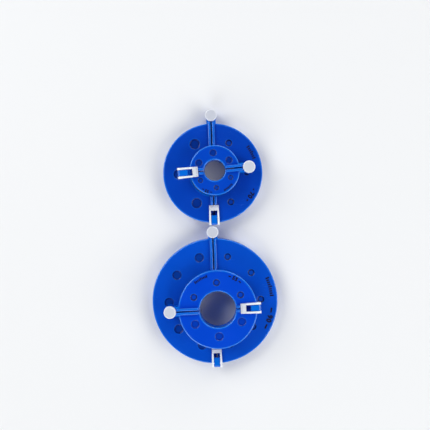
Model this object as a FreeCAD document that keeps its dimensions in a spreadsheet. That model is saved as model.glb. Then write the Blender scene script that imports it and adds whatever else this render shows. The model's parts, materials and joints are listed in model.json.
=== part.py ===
import FreeCAD, Part

import math
import os

import Sketcher

# A set of four pompom makers, lying flat: a small one on a large one, twice.
# Every maker is the same mechanism at its own size. Two rings, a front one and a
# back one, are each split into two half rings, the arches. The arches of one side
# turn outwards together about a pin beyond the rim, so that yarn can be wound
# round them, and a hinged latch closes the split at the far end.
#
# Each maker is drawn in its own frame: the middle of its rings at the origin, the
# pin towards +Y, the marked half at +X, the flat back at Z = 0. Then the whole
# maker is turned and moved to its place in the set.

FRONT, BACK = "front", "back"
MARKED, PLAIN = "marked", "plain"
SIDE_SIGN = {MARKED: 1, PLAIN: -1}

# Sizes that all four makers share, in millimetres
SHARED_SIZES = {
    "arch_depth": 4.5,            # height of one ring
    "yarn_gap": 2.8,              # open slot between the two rings
    "face_plate": 1.8,            # wall of the dimpled face
    "side_wall": 1.5,             # walls of the hollow behind the face
    "edge_fillet": 0.7,
    "split_gap": 0.9,             # slot between the two halves of a ring
    "rib_width": 1.9,
    "rib_rise": 2.2,              # ribs, pin head and latch end level, this far above the face
    "rib_fillet": 0.6,
    "rib_end_gap": 0.3,
    "small_dimple_depth": 0.9,
    "large_dimple_depth": 1.2,
    "dimple_fillet": 0.45,
    "neck_width": 6.7,            # both necks together, split and all
    "knuckle_diameter": 8.2,
    "knuckle_clearance": 0.05,    # between stacked knuckles
    "sweep_clearance": 0.15,      # round a knuckle that turns past another arch
    "pin_diameter": 4.0,
    "pin_clearance": 0.05,        # radial
    "head_diameter": 8.6,
    "head_fillet": 0.8,
    "stub_diameter": 2.4,         # end of the pin, riveted into the cap
    "cap_diameter": 6.6,
    "cap_thickness": 1.0,
    "cap_recess": 0.1,
    "cap_clearance": 0.15,
    "spacer_diameter": 3.4,       # shoulder that keeps the two arches of a side apart
    "stud_diameter": 2.4,
    "stud_length": 3.0,
    "stud_clearance": 0.05,
    "stud_offset": 3.2,           # from the split line
    "stud_inset": 2.4,            # from the rim
    "block_width": 5.2,           # solid stretch of an arch beside its neck
    "block_length": 3.3,
    "block_bite": 0.2,            # how far such a stretch runs into the rim's wall
    "catch_block_width": 6.0,     # solid stretch of an arch under the latch
    "catch_block_length": 4.1,
    "latch_inset": 3.0,           # least stretch of rib between the hole and the latch
    "latch_length": 14.3,
    "latch_bar": 3.8,
    "latch_bar_half": 3.45,       # half the outer width at the bar
    "latch_end_half": 3.75,       # half the outer width at the hinge
    "latch_inner_half": 2.3,
    "latch_lift": 0.3,            # from the face to the underside of the latch
    "latch_lip": 1.1,             # finger ledge along the bar
    "latch_lip_drop": 0.7,
    "latch_eye_radius": 1.7,
    "latch_fillet": 0.35,
    "trunnion_radius": 0.9,
    "trunnion_reach": 3.6,
    "trunnion_clearance": 0.05,
    "tongue_half": 2.0,
    "tongue_length": 7.0,
    "tongue_drop": 0.2,           # below the top of the latch
    "tongue_end": 1.5,            # radius of the rounded end round the trunnion
    "notch_clearance": 0.2,
    "notch_depth": 1.5,
    "catch_slot_depth": 1.9,
    "stack_clearance": 0.2,       # between a maker and the one that lies on it
    "rib_bearing": 2.2,           # least reach of its rim past the hole below, over the pivot rib
}

# Sizes of each maker. The 55 lies on the 90 and the 35 on the 70, offset by offset_x and
# offset_y from the middle of the one below. The 70 lies in line beyond the pin of the 90,
# where offset_y is the room between its latch and the head of that pin.
MAKER_SIZES = {
    "90": {
        "disc_diameter": 90, "hole_diameter": 40, "pivot_reach": 4.5, "latch_overhang": 2.7,
        "dimple_count": 5, "dimple_shift": 0.5, "large_dimple": 6.7, "small_dimple": 4.9,
        "offset_x": 0, "offset_y": 0, "turn": 2.0,
    },
    "70": {
        "disc_diameter": 71.6, "hole_diameter": 32, "pivot_reach": 5.6, "latch_overhang": 1.8,
        "dimple_count": 3, "dimple_shift": -1.4, "large_dimple": 7.4, "small_dimple": 4.9,
        "offset_x": -1.6, "offset_y": 0.6, "turn": 2.0,
    },
    "55": {
        "disc_diameter": 55, "hole_diameter": 25.4, "pivot_reach": 5.9, "latch_overhang": 2.7,
        "dimple_count": 3, "dimple_shift": -1.3, "large_dimple": 6.1, "small_dimple": 4.9,
        "offset_x": 2.0, "offset_y": -4.1, "turn": 93.1,
    },
    "35": {
        "disc_diameter": 35, "hole_diameter": 14.6, "pivot_reach": 6.5, "latch_overhang": 8.5,
        "dimple_count": 3, "dimple_shift": -0.2, "large_dimple": 5.1, "small_dimple": 3.7,
        "offset_x": 1.4, "offset_y": 1.0, "turn": -84.5,
    },
}
LIES_ON = {"55": "90", "35": "70"}
LIES_BEYOND = {"70": "90"}

doc = FreeCAD.newDocument("pompom_maker_set")
sheet = doc.addObject("Spreadsheet::Sheet", "Sizes")
footprint = doc.addObject("Spreadsheet::Sheet", "Footprint")


def fill_sheet(target, cells):
    """Write sizes into a sheet, one named cell each."""
    for row, (alias, number) in enumerate(cells.items(), start=1):
        target.set(f"A{row}", alias)
        target.set(f"B{row}", str(number))
        target.setAlias(f"B{row}", alias)


def fill_sheets():
    """Write every driving size into the main sheet, and no shift yet into the other one."""
    cells = dict(SHARED_SIZES)
    for key, sizes in MAKER_SIZES.items():
        cells.update({f"{name}_{key}": number for name, number in sizes.items()})
    fill_sheet(sheet, cells)
    fill_sheet(footprint, {"shift_x": 0, "shift_y": 0})
    doc.recompute()


def size(name, key=None):
    """The expression for a named size, of one maker when a key is given."""
    return f"Sizes.{name}_{key}" if key else f"Sizes.{name}"


def value(expression):
    """The number that an expression gives now."""
    return float(sheet.evalExpression(expression))


# Heights over the flat back, as expressions
FACE_LEVEL = f"(2 * {size('arch_depth')} + {size('yarn_gap')})"
FRONT_LEVEL = f"({size('arch_depth')} + {size('yarn_gap')})"
TOP_LEVEL = f"({FACE_LEVEL} + {size('rib_rise')})"
LATCH_LEVEL = f"({FACE_LEVEL} + {size('latch_lift')})"
LATCH_DEPTH = f"({size('rib_rise')} - {size('latch_lift')})"
LATCH_AXIS_LEVEL = f"({TOP_LEVEL} - {size('latch_eye_radius')})"
TONGUE_TOP = f"({TOP_LEVEL} - {size('tongue_drop')})"
CAVITY_DEPTH = f"({size('arch_depth')} - {size('face_plate')})"
SPLIT_HALF = f"({size('split_gap')} / 2)"
NECK_HALF = f"({size('neck_width')} / 2)"
SWEEP_RADIUS = f"({size('knuckle_diameter')} / 2 + {size('sweep_clearance')})"

# Knuckles on the pin, from the back: each arch has a quarter of the height
KNUCKLE_ORDER = [(BACK, PLAIN), (BACK, MARKED), (FRONT, PLAIN), (FRONT, MARKED)]


class Maker:
    """The expressions that depend on which maker is drawn."""

    def __init__(self, key):
        self.key = key
        self.name = f"maker{key}"
        self.rim = f"({size('disc_diameter', key)} / 2)"
        self.hole = f"({size('hole_diameter', key)} / 2)"
        self.pin_y = f"({self.rim} + {size('pivot_reach', key)})"
        # the latch reaches further beyond the rim of a ring that is too narrow for it
        self.latch_end = (f"max({self.rim} + {size('latch_overhang', key)}; "
                          f"{self.hole} + {size('latch_inset')} + {size('latch_length')})")
        self.latch_axis = f"({self.latch_end} - {size('latch_eye_radius')})"
        self.bar_inner = f"({self.latch_end} - {size('latch_length')})"
        self.bar_outer = f"({self.bar_inner} + {size('latch_bar')})"
        self.tongue_inner = f"({self.latch_axis} - {size('tongue_length')} + {size('tongue_end')})"
        self.dimple_circle = f"(({self.rim} + {self.hole}) / 2 + {size('dimple_shift', key)})"

    def place(self):
        """Where the middle of this maker stands, as a pair of expressions."""
        x, y = size("offset_x", self.key), size("offset_y", self.key)
        if self.key in LIES_ON:
            below = Maker(LIES_ON[self.key])
            below_x, below_y = below.place()
            bearing_y = f"({below.hole} + {size('rib_bearing')} - {self.rim})"
            return f"({below_x} + {x})", f"({below_y} + max({y}; {bearing_y}))"
        if self.key in LIES_BEYOND:
            before = Maker(LIES_BEYOND[self.key])
            before_x, before_y = before.place()
            head_edge = f"({before.pin_y} + {size('head_diameter')} / 2)"
            return f"({before_x} + {x})", f"({before_y} + {head_edge} + {self.latch_end} + {y})"
        return x, y


# Drawing helpers

def body_for(maker, name):
    """A new body at the maker's place in the set."""
    body = doc.addObject("PartDesign::Body", f"{maker.name}_{name}")
    body.Label = f"{maker.name}_{name}"
    x, y = maker.place()
    body.setExpression("Placement.Base.x", f"{x} + Footprint.shift_x")
    body.setExpression("Placement.Base.y", f"{y} + Footprint.shift_y")
    if maker.key in LIES_ON:
        body.setExpression("Placement.Base.z", f"{TOP_LEVEL} + {size('stack_clearance')}")
    body.setExpression("Placement.Rotation.Angle", size("turn", maker.key))
    return body


def origin_feature(body, role):
    """One of the body's own origin planes or axes."""
    return next(item for item in body.Origin.OriginFeatures if item.Role == role)


def new_sketch(body, name, level, plane="XY_Plane"):
    """A sketch on an origin plane of the body, moved along its normal to a level."""
    sketch = body.newObject("Sketcher::SketchObject", name)
    sketch.AttachmentSupport = (origin_feature(body, plane), [""])
    sketch.MapMode = "FlatFace"
    sketch.setExpression("AttachmentOffset.Base.z", level)
    return sketch


def fix(sketch, kind, geometry, point, expression):
    """Tie a point's distance from the sketch's origin to an expression."""
    rule = sketch.addConstraint(Sketcher.Constraint(kind, -1, 1, geometry, point, value(expression)))
    sketch.setExpression(f"Constraints[{rule}]", expression)


def fix_radius(sketch, geometry, expression):
    """Tie the radius of a circle or an arc to an expression."""
    rule = sketch.addConstraint(Sketcher.Constraint("Radius", geometry, value(expression)))
    sketch.setExpression(f"Constraints[{rule}]", expression)


def draw_outline(sketch, corners):
    """Draw a closed outline of straight edges, each corner an (x, y) pair of expressions."""
    points = [FreeCAD.Vector(value(x), value(y), 0) for x, y in corners]
    edges = [sketch.addGeometry(Part.LineSegment(start, end), False)
             for start, end in zip(points, points[1:] + points[:1])]
    for edge, following, (x, y) in zip(edges, edges[1:] + edges[:1], corners):
        sketch.addConstraint(Sketcher.Constraint("Coincident", edge, 2, following, 1))
        fix(sketch, "DistanceX", edge, 1, x)
        fix(sketch, "DistanceY", edge, 1, y)


def draw_rectangle(sketch, left, right, bottom, top):
    """Draw a rectangle between four expressions."""
    draw_outline(sketch, [(left, bottom), (right, bottom), (right, top), (left, top)])


def draw_circle(sketch, x, y, radius):
    """Draw a circle with its middle and radius tied to expressions."""
    centre = FreeCAD.Vector(value(x), value(y), 0)
    circle = Part.Circle(centre, FreeCAD.Vector(0, 0, 1), value(radius))
    index = sketch.addGeometry(circle, False)
    fix(sketch, "DistanceX", index, 3, x)
    fix(sketch, "DistanceY", index, 3, y)
    fix_radius(sketch, index, radius)


def draw_half_ring(sketch, sign, outer, inner, edge):
    """Draw half a ring: two concentric arcs joined by two edges beside the split."""
    arcs = []
    for radius in (outer, inner):
        tilt = math.asin(value(edge) / value(radius))
        start = tilt - math.pi / 2 if sign > 0 else tilt + math.pi / 2
        end = start + math.pi - 2 * tilt
        circle = Part.Circle(FreeCAD.Vector(0, 0, 0), FreeCAD.Vector(0, 0, 1), value(radius))
        arc = sketch.addGeometry(Part.ArcOfCircle(circle, start, end), False)
        sketch.addConstraint(Sketcher.Constraint("Coincident", arc, 3, -1, 1))
        fix_radius(sketch, arc, radius)
        arcs.append((arc, sketch.getPoint(arc, 1), sketch.getPoint(arc, 2)))
    (outer_arc, outer_start, outer_end), (inner_arc, inner_start, inner_end) = arcs
    for point, outer_point, inner_point in ((1, outer_start, inner_start), (2, outer_end, inner_end)):
        line = sketch.addGeometry(Part.LineSegment(outer_point, inner_point), False)
        sketch.addConstraint(Sketcher.Constraint("Coincident", line, 1, outer_arc, point))
        sketch.addConstraint(Sketcher.Constraint("Coincident", line, 2, inner_arc, point))
        sketch.addConstraint(Sketcher.Constraint("Vertical", line))
        fix(sketch, "DistanceX", line, 1, f"{sign} * {edge}")


def pad(body, sketch, length, downwards=False):
    """Add material from a sketch."""
    feature = body.newObject("PartDesign::Pad", f"{sketch.Name}_pad")
    feature.Profile = sketch
    feature.Reversed = downwards
    feature.setExpression("Length", length)
    return feature


def pocket(body, sketch, depth, upwards=False):
    """Cut material from a sketch, down from it unless told otherwise."""
    feature = body.newObject("PartDesign::Pocket", f"{sketch.Name}_cut")
    feature.Profile = sketch
    feature.Reversed = upwards
    feature.setExpression("Length", depth)
    return feature


def fillet(body, base, radius, wanted):
    """Round the edges of a feature that pass a test, by a radius."""
    doc.recompute()
    names = [f"Edge{number}" for number, edge in enumerate(base.Shape.Edges, start=1) if wanted(edge)]
    if not names:
        raise ValueError(f"{body.Label}: no edge to round on {base.Name}")
    feature = body.newObject("PartDesign::Fillet", f"{base.Name}_fillet")
    feature.Base = (base, names)
    feature.setExpression("Radius", radius)
    return feature


def near(first, second):
    """Whether two lengths are the same to a thousandth of a millimetre."""
    return abs(first - second) < 0.001


def is_circle_at(edge, radius, level):
    """Whether an edge is an arc or a circle of this radius, flat at this height."""
    box = edge.BoundBox
    flat = near(box.ZMin, level) and near(box.ZMax, level)
    return flat and isinstance(edge.Curve, Part.Circle) and near(edge.Curve.Radius, radius)


def is_flat_at(edge, level):
    """Whether an edge lies flat at this height."""
    return near(edge.BoundBox.ZMin, level) and near(edge.BoundBox.ZMax, level)


# The pieces of one maker

def add_ring(body, maker, layer, sign):
    """The half ring itself: a dimpled plate with walls round a hollow on the yarn side."""
    base_level = FRONT_LEVEL if layer == FRONT else "0"
    face_level = FACE_LEVEL if layer == FRONT else "0"
    ring_sketch = new_sketch(body, f"{body.Name}_ring", base_level)
    draw_half_ring(ring_sketch, sign, maker.rim, maker.hole, SPLIT_HALF)
    ring = pad(body, ring_sketch, size("arch_depth"))
    radii = (value(maker.rim), value(maker.hole))
    fillet(body, ring, size("edge_fillet"),
           lambda edge: any(is_circle_at(edge, radius, value(face_level)) for radius in radii))

    hollow_level = FRONT_LEVEL if layer == FRONT else size("arch_depth")
    hollow_sketch = new_sketch(body, f"{body.Name}_hollow", hollow_level)
    draw_half_ring(hollow_sketch, sign, f"({maker.rim} - {size('side_wall')})",
                   f"({maker.hole} + {size('side_wall')})", f"({SPLIT_HALF} + {size('side_wall')})")
    pocket(body, hollow_sketch, CAVITY_DEPTH, upwards=layer == FRONT)


def add_dimples(body, maker, layer, side):
    """A row of round dimples in the face, evenly spaced round the half ring."""
    sign = SIDE_SIGN[side]
    kind = "small" if side == MARKED else "large"
    radius = f"({size(f'{kind}_dimple', maker.key)} / 2)"
    depth = size(f"{kind}_dimple_depth")
    count = size("dimple_count", maker.key)
    face_level = FACE_LEVEL if layer == FRONT else "0"
    sketch = new_sketch(body, f"{body.Name}_dimple", face_level)
    # the first dimple stands half a step from the split, the last one as far from its other end
    draw_circle(sketch, f"{sign} * {maker.dimple_circle} * sin(90 deg / {count})",
                f"{-sign} * {maker.dimple_circle} * cos(90 deg / {count})", radius)
    cut = pocket(body, sketch, depth, upwards=layer == BACK)
    row = body.newObject("PartDesign::PolarPattern", f"{body.Name}_dimple_row")
    row.Originals = [cut]
    row.Axis = (origin_feature(body, "Z_Axis"), [""])
    row.setExpression("Angle", f"180 deg * ({count} - 1) / {count}")
    row.setExpression("Occurrences", count)
    body.Tip = row
    floor = value(f"{face_level} - {depth}" if layer == FRONT else depth)
    fillet(body, row, size("dimple_fillet"), lambda edge: is_circle_at(edge, value(radius), floor))


def knuckle_span(layer, side):
    """Bottom and height of an arch's knuckle on the pin, as expressions."""
    place = KNUCKLE_ORDER.index((layer, side))
    quarter = f"{FACE_LEVEL} / {len(KNUCKLE_ORDER)}"
    bottom = f"({place} * {quarter} + {size('knuckle_clearance')} / 2)"
    return bottom, f"({quarter} - {size('knuckle_clearance')})"


def add_neck(body, maker, layer, side):
    """The neck beyond the rim and its knuckle, which takes its own part of the pin."""
    sign = SIDE_SIGN[side]
    base_level = FRONT_LEVEL if layer == FRONT else "0"
    left, right = sorted((f"{sign} * {SPLIT_HALF}", f"{sign} * {NECK_HALF}"), key=value)

    web_sketch = new_sketch(body, f"{body.Name}_neck", base_level)
    draw_rectangle(web_sketch, left, right, f"({maker.rim} - {size('side_wall')})", maker.pin_y)
    pad(body, web_sketch, size("arch_depth"))
    sweep_sketch = new_sketch(body, f"{body.Name}_sweep", base_level)
    draw_circle(sweep_sketch, "0", maker.pin_y, SWEEP_RADIUS)
    pocket(body, sweep_sketch, size("arch_depth"), upwards=True)

    knuckle_bottom, knuckle_height = knuckle_span(layer, side)
    link_bottom = f"max({knuckle_bottom}; {base_level})"
    link_top = f"min({knuckle_bottom} + {knuckle_height}; {base_level} + {size('arch_depth')})"
    link_sketch = new_sketch(body, f"{body.Name}_link", link_bottom)
    draw_rectangle(link_sketch, left, right,
                   f"({maker.pin_y} - {SWEEP_RADIUS} - {size('side_wall')} / 2)", maker.pin_y)
    pad(body, link_sketch, f"{link_top} - {link_bottom}")
    knuckle_sketch = new_sketch(body, f"{body.Name}_knuckle", knuckle_bottom)
    draw_circle(knuckle_sketch, "0", maker.pin_y, f"({size('knuckle_diameter')} / 2)")
    pad(body, knuckle_sketch, knuckle_height)
    bore_sketch = new_sketch(body, f"{body.Name}_bore", "0")
    draw_circle(bore_sketch, "0", maker.pin_y,
                f"({size('pin_diameter')} / 2 + {size('pin_clearance')})")
    pocket(body, bore_sketch, FACE_LEVEL, upwards=True)


def add_stud_block(body, maker, layer, side):
    """A solid stretch beside the neck, with the stud or the socket that ties the side's arches."""
    sign = SIDE_SIGN[side]
    base_level = FRONT_LEVEL if layer == FRONT else "0"
    left, right = sorted((f"{sign} * {SPLIT_HALF}", f"{sign} * {size('block_width')}"), key=value)
    outer = f"({maker.rim} - {size('side_wall')} + {size('block_bite')})"
    block_sketch = new_sketch(body, f"{body.Name}_stud_block", base_level)
    draw_rectangle(block_sketch, left, right, f"({outer} - {size('block_length')})", outer)
    pad(body, block_sketch, size("arch_depth"))

    stud_x = f"{sign} * {size('stud_offset')}"
    stud_y = f"({maker.rim} - {size('stud_inset')})"
    if layer == BACK:
        spacer_sketch = new_sketch(body, f"{body.Name}_spacer", size("arch_depth"))
        draw_circle(spacer_sketch, stud_x, stud_y, f"({size('spacer_diameter')} / 2)")
        pad(body, spacer_sketch, size("yarn_gap"))
        stud_sketch = new_sketch(body, f"{body.Name}_stud", FRONT_LEVEL)
        draw_circle(stud_sketch, stud_x, stud_y, f"({size('stud_diameter')} / 2)")
        pad(body, stud_sketch, size("stud_length"))
    else:
        socket_sketch = new_sketch(body, f"{body.Name}_socket", FRONT_LEVEL)
        draw_circle(socket_sketch, stud_x, stud_y,
                    f"({size('stud_diameter')} / 2 + {size('stud_clearance')})")
        pocket(body, socket_sketch, f"{size('stud_length')} + {size('stud_clearance')}", upwards=True)


def add_catch_block(body, maker, side):
    """The solid end of a front arch under the latch, with the catch slot and the hinge notch."""
    sign = SIDE_SIGN[side]
    outer = f"(-1 * ({maker.rim} - {size('side_wall')} + {size('block_bite')}))"
    left, right = sorted((f"{sign} * {SPLIT_HALF}", f"{sign} * {size('catch_block_width')}"), key=value)
    block_sketch = new_sketch(body, f"{body.Name}_catch_block", FRONT_LEVEL)
    draw_rectangle(block_sketch, left, right, outer, f"({outer} + {size('catch_block_length')})")
    pad(body, block_sketch, size("arch_depth"))

    slot_left, slot_right = sorted((f"{sign} * {SPLIT_HALF} / 2", f"{sign} * {size('tongue_half')}"),
                                   key=value)
    slot_sketch = new_sketch(body, f"{body.Name}_catch_slot", FACE_LEVEL)
    draw_rectangle(slot_sketch, slot_left, slot_right,
                   f"(-1 * {maker.tongue_inner} + {size('notch_clearance')})",
                   f"(-1 * {maker.bar_outer} + {size('rib_end_gap')})")
    pocket(body, slot_sketch, size("catch_slot_depth"))

    # a hinge that stands well outside the rim needs no notch
    notch_inner = f"({maker.latch_axis} - {size('latch_eye_radius')} - {size('notch_clearance')})"
    if value(notch_inner) < value(maker.rim):
        near_edge = size("tongue_half") if side == MARKED else f"({SPLIT_HALF} / 2)"
        notch_left, notch_right = sorted(
            (f"{sign} * {near_edge}", f"{sign} * ({size('latch_end_half')} + {size('notch_clearance')})"),
            key=value)
        notch_sketch = new_sketch(body, f"{body.Name}_notch", FACE_LEVEL)
        draw_rectangle(notch_sketch, notch_left, notch_right,
                       f"(-1 * {maker.latch_end})", f"(-1 * {notch_inner})")
        pocket(body, notch_sketch, size("notch_depth"))


def add_rib(body, maker, name, side, low, high):
    """A rounded rib along the split, between two heights on the page."""
    sign = SIDE_SIGN[side]
    left, right = sorted((f"{sign} * {SPLIT_HALF}", f"{sign} * ({SPLIT_HALF} + {size('rib_width')})"),
                         key=value)
    sketch = new_sketch(body, f"{body.Name}_{name}", FACE_LEVEL)
    draw_rectangle(sketch, left, right, low, high)
    rib = pad(body, sketch, size("rib_rise"))
    fillet(body, rib, size("rib_fillet"), lambda edge: is_flat_at(edge, value(TOP_LEVEL)))


def add_tongue(body, maker):
    """The tongue that carries the latch: it grows out of the marked half and spans the split."""
    outer = f"(-1 * {maker.latch_axis})"
    wall_foot = f"(-1 * ({maker.rim} - {size('side_wall')} + {size('block_bite')}))"
    foot_sketch = new_sketch(body, f"{body.Name}_foot", FRONT_LEVEL)
    draw_rectangle(foot_sketch, SPLIT_HALF, size("tongue_half"), outer, wall_foot)
    pad(body, foot_sketch, CAVITY_DEPTH)
    root_sketch = new_sketch(body, f"{body.Name}_root", f"({FRONT_LEVEL} + {CAVITY_DEPTH})")
    draw_rectangle(root_sketch, SPLIT_HALF, size("tongue_half"), outer, f"(-1 * {maker.tongue_inner})")
    pad(body, root_sketch, f"{TONGUE_TOP} - {FRONT_LEVEL} - {CAVITY_DEPTH}")
    plate_sketch = new_sketch(body, f"{body.Name}_tongue", LATCH_LEVEL)
    draw_rectangle(plate_sketch, f"-1 * {size('tongue_half')}", size("tongue_half"), outer,
                   f"(-1 * {maker.tongue_inner})")
    plate = pad(body, plate_sketch, f"{TONGUE_TOP} - {LATCH_LEVEL}")
    fillet(body, plate, size("latch_fillet"), lambda edge: near(edge.BoundBox.YMin, edge.BoundBox.YMax)
           and is_flat_at(edge, value(TONGUE_TOP)) and near(edge.BoundBox.YMax, -value(maker.tongue_inner)))

    for name, radius, reach in (("barrel", "tongue_end", "tongue_half"),
                                ("trunnion", "trunnion_radius", "trunnion_reach")):
        sketch = new_sketch(body, f"{body.Name}_{name}", f"-1 * {size(reach)}", "YZ_Plane")
        draw_circle(sketch, outer, LATCH_AXIS_LEVEL, size(radius))
        pad(body, sketch, f"2 * {size(reach)}")


def make_arch(maker, layer, side):
    """One arch: half of the front or of the back ring."""
    body = body_for(maker, f"{layer}_arch_{side}")
    add_ring(body, maker, layer, SIDE_SIGN[side])
    add_stud_block(body, maker, layer, side)
    if layer == FRONT:
        add_catch_block(body, maker, side)
    add_dimples(body, maker, layer, side)
    add_neck(body, maker, layer, side)
    if layer == FRONT:
        head_side = f"({maker.pin_y} - {size('head_diameter')} / 2 - {size('rib_end_gap')})"
        add_rib(body, maker, "pivot_rib", side, f"({maker.hole} + {size('edge_fillet')})", head_side)
        add_rib(body, maker, "latch_rib", side, f"(-1 * {maker.bar_inner} + {size('rib_end_gap')})",
                f"(-1 * ({maker.hole} + {size('edge_fillet')}))")
        if side == MARKED:
            add_tongue(body, maker)
    elif side == PLAIN:
        recess_sketch = new_sketch(body, f"{body.Name}_cap_recess", "0")
        draw_circle(recess_sketch, "0", maker.pin_y,
                    f"({size('cap_diameter')} / 2 + {size('cap_clearance')})")
        pocket(body, recess_sketch,
               f"{size('cap_recess')} + {size('cap_thickness')} + {size('knuckle_clearance')}", upwards=True)
    return body


def make_pin(maker):
    """The pivot pin: a broad flat head, a shaft through the knuckles and a stub for the cap."""
    body = body_for(maker, "pivot_pin")
    head_sketch = new_sketch(body, f"{body.Name}_head", f"({FACE_LEVEL} + {size('knuckle_clearance')})")
    draw_circle(head_sketch, "0", maker.pin_y, f"({size('head_diameter')} / 2)")
    head = pad(body, head_sketch, f"{size('rib_rise')} - {size('knuckle_clearance')}")
    fillet(body, head, size("head_fillet"), lambda edge: is_flat_at(edge, value(TOP_LEVEL)))
    cap_top = f"({size('cap_recess')} + {size('cap_thickness')})"
    shaft_sketch = new_sketch(body, f"{body.Name}_shaft", cap_top)
    draw_circle(shaft_sketch, "0", maker.pin_y, f"({size('pin_diameter')} / 2)")
    pad(body, shaft_sketch, f"{FACE_LEVEL} + {size('knuckle_clearance')} - {cap_top}")
    stub_sketch = new_sketch(body, f"{body.Name}_stub", size("cap_recess"))
    draw_circle(stub_sketch, "0", maker.pin_y, f"({size('stub_diameter')} / 2)")
    pad(body, stub_sketch, size("cap_thickness"))
    return body


def make_cap(maker):
    """The cap on the pin's stub, sunk in the lowest knuckle so that the back stays flat."""
    body = body_for(maker, "pivot_cap")
    sketch = new_sketch(body, f"{body.Name}_disc", size("cap_recess"))
    draw_circle(sketch, "0", maker.pin_y, f"({size('cap_diameter')} / 2)")
    draw_circle(sketch, "0", maker.pin_y, f"({size('stub_diameter')} / 2)")
    pad(body, sketch, size("cap_thickness"))
    return body


def make_latch(maker):
    """The latch: a bar over the split and two legs that hinge on the tongue's trunnions."""
    body = body_for(maker, "latch")
    axis = f"(-1 * {maker.latch_axis})"
    bar_inner, bar_outer = f"(-1 * {maker.bar_inner})", f"(-1 * {maker.bar_outer})"
    bar_half, end_half, inner_half = size("latch_bar_half"), size("latch_end_half"), size("latch_inner_half")
    outline = [(f"-1 * {bar_half}", bar_inner), (f"-1 * {end_half}", axis),
               (f"-1 * {inner_half}", axis), (f"-1 * {inner_half}", bar_outer),
               (inner_half, bar_outer), (inner_half, axis), (end_half, axis), (bar_half, bar_inner)]
    lever_sketch = new_sketch(body, f"{body.Name}_lever", LATCH_LEVEL)
    draw_outline(lever_sketch, outline)
    pad(body, lever_sketch, LATCH_DEPTH)

    ledge_sketch = new_sketch(body, f"{body.Name}_ledge", TOP_LEVEL)
    draw_rectangle(ledge_sketch, f"-1 * {end_half}", end_half,
                   f"({bar_inner} - {size('latch_lip')})", f"({bar_inner} + {size('latch_lip')})")
    ledge = pocket(body, ledge_sketch, size("latch_lip_drop"))

    # the short ends of the legs stay sharp, because the eyes run into them
    fillet(body, ledge, size("latch_fillet"), lambda edge: is_flat_at(edge, value(TOP_LEVEL))
           and edge.Length > value(f"{end_half} - {inner_half} + {size('latch_fillet')}"))

    for name, start in (("right_eye", inner_half), ("left_eye", f"-1 * {end_half}")):
        eye_sketch = new_sketch(body, f"{body.Name}_{name}", start, "YZ_Plane")
        draw_circle(eye_sketch, axis, LATCH_AXIS_LEVEL, size("latch_eye_radius"))
        pad(body, eye_sketch, f"{end_half} - {inner_half}")
    bore_sketch = new_sketch(body, f"{body.Name}_eye_bore", f"-1 * {end_half}", "YZ_Plane")
    draw_circle(bore_sketch, axis, LATCH_AXIS_LEVEL,
                f"({size('trunnion_radius')} + {size('trunnion_clearance')})")
    pocket(body, bore_sketch, f"2 * {end_half}", upwards=True)
    return body


def centre_set(bodies):
    """Shift every maker alike, so that the box of the set stands with its middle on the origin."""
    box = FreeCAD.BoundBox()
    for body in bodies:
        box.add(body.Shape.BoundBox)
    fill_sheet(footprint, {"shift_x": -box.Center.x, "shift_y": -box.Center.y})
    doc.recompute()


def check(bodies):
    """Stop if any object failed to build or any piece isn't one valid solid."""
    for item in doc.Objects:
        if "Invalid" in item.State or "Error" in item.State:
            raise RuntimeError(f"{item.Label} failed: {item.State}")
    for body in bodies:
        if body.Shape.isNull() or not body.Shape.isValid() or len(body.Shape.Solids) != 1:
            raise RuntimeError(f"{body.Label} isn't one valid solid")


fill_sheets()
pieces = []
for maker in [Maker(key) for key in MAKER_SIZES]:
    pieces += [make_arch(maker, layer, side) for layer in (FRONT, BACK) for side in (MARKED, PLAIN)]
    pieces += [make_pin(maker), make_cap(maker), make_latch(maker)]
doc.recompute()
centre_set(pieces)
check(pieces)

os.makedirs("parts", exist_ok=True)
for piece in pieces:
    piece.Shape.exportStep(f"parts/{piece.Label}.step")
    print(f"{piece.Label}: {piece.Shape.Volume:.1f} mm3")
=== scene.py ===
# The looks of a set of four pompom makers: glossy blue half rings, white pins and
# latches, and the printed marks on each marked half, all round the fixed CAD frame.

import json
import logging
import math
from dataclasses import dataclass, field
from enum import Enum

import bmesh
import bpy
import numpy as np
from mathutils import Matrix, Vector


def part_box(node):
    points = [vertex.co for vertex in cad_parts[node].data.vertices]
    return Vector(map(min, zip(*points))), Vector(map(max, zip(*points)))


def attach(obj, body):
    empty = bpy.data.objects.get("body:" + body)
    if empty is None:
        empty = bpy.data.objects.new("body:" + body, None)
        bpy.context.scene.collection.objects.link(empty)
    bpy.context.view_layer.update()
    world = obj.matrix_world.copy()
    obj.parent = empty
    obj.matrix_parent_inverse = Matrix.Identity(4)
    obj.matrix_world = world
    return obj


MM = 0.001
LOG = logging.getLogger("pompom_makers")

# Sizes that every maker shares
FACE_HEIGHT = 11.8 * MM         # from the flat back to the dimpled face
HEAD_RADIUS = 4.3 * MM          # of the pin's flat head
LATCH_WINDOW = 2.3 * MM         # half the width between the legs of a latch
LATCH_REACH = 8.8 * MM          # from the hinge of a latch to the side of its bar that faces the hinge

# Looks that every finish shares
SCUFF_ROUGHNESS = 0.15          # how much duller a scuff is
MOULD_RIPPLE = 0.04             # strength of the bump of moulded plastic
EDGE_HIGHLIGHT_AND_SCUFF = (0.0, 0.185, 0.78)       # blue of a painted highlight on rims and hole edges, and of light through the thin edge; also lighter scuffs
RIB_HIGHLIGHT = (0.0, 0.140, 0.70)        # painted highlight: lighter blue on the tops of the raised ribs and the latch tongue
MARKED_DIMPLE_SHADE = (0.26, 0.85)    # painted shade of a marked half's dimple walls and floors, as shares of the face
WALL_SHADE_BELOW_FLOOR = 0.08         # how much darker the painted shade of the large dimples' walls is than their floors

Colour = tuple[float, float, float]
MeshParts = tuple[np.ndarray, list[tuple[int, ...]]]

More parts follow.
